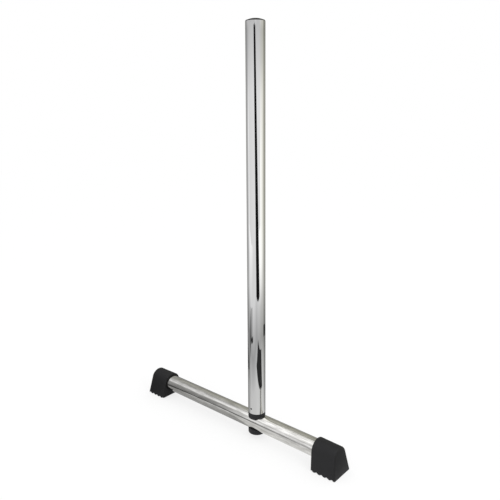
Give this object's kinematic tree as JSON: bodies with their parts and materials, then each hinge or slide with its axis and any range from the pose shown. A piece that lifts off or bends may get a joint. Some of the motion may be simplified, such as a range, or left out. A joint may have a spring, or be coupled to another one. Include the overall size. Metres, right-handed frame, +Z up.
{
  "type": "flag pole stand",
  "caption": "Floor stand with a round tube upright bolted off-centre on a cross bar that stands on two flared feet.",
  "frame": {"origin": "on the floor under the middle of the cross bar, which is the centre of the bounding box's bottom face", "axes": "+Z up along the upright, +X along the cross bar towards the foot that the upright stands nearer to, +Y across the bar, the lock screw on the -Y side"},
  "size_m": [0.56, 0.0578, 0.8665],
  "materials": {
    "bright_chrome": "bright chrome plate, polished",
    "satin_chrome": "chrome plate over a lengthwise brushed tube",
    "foot_rubber": "moulded, matt black",
    "saddle_plastic": "moulded, fine matt black",
    "cap_plastic": "moulded, black",
    "zinc_steel": "bright zinc plate",
    "nylon": "moulded nylon",
    "black_steel": "black oxide"
  },
  "bodies": {
    "root": {"cross_bar": "satin_chrome", "left_foot": "foot_rubber", "right_foot": "foot_rubber", "lower_saddle": "saddle_plastic", "upper_saddle": "saddle_plastic", "upright_tube": "bright_chrome", "top_cap": "cap_plastic", "clamp_bolt": "zinc_steel", "bolt_washer": "zinc_steel", "lock_nut": "zinc_steel", "lock_nut_ring": "nylon", "lock_screw": "black_steel"}
  },
  "joints": []
}
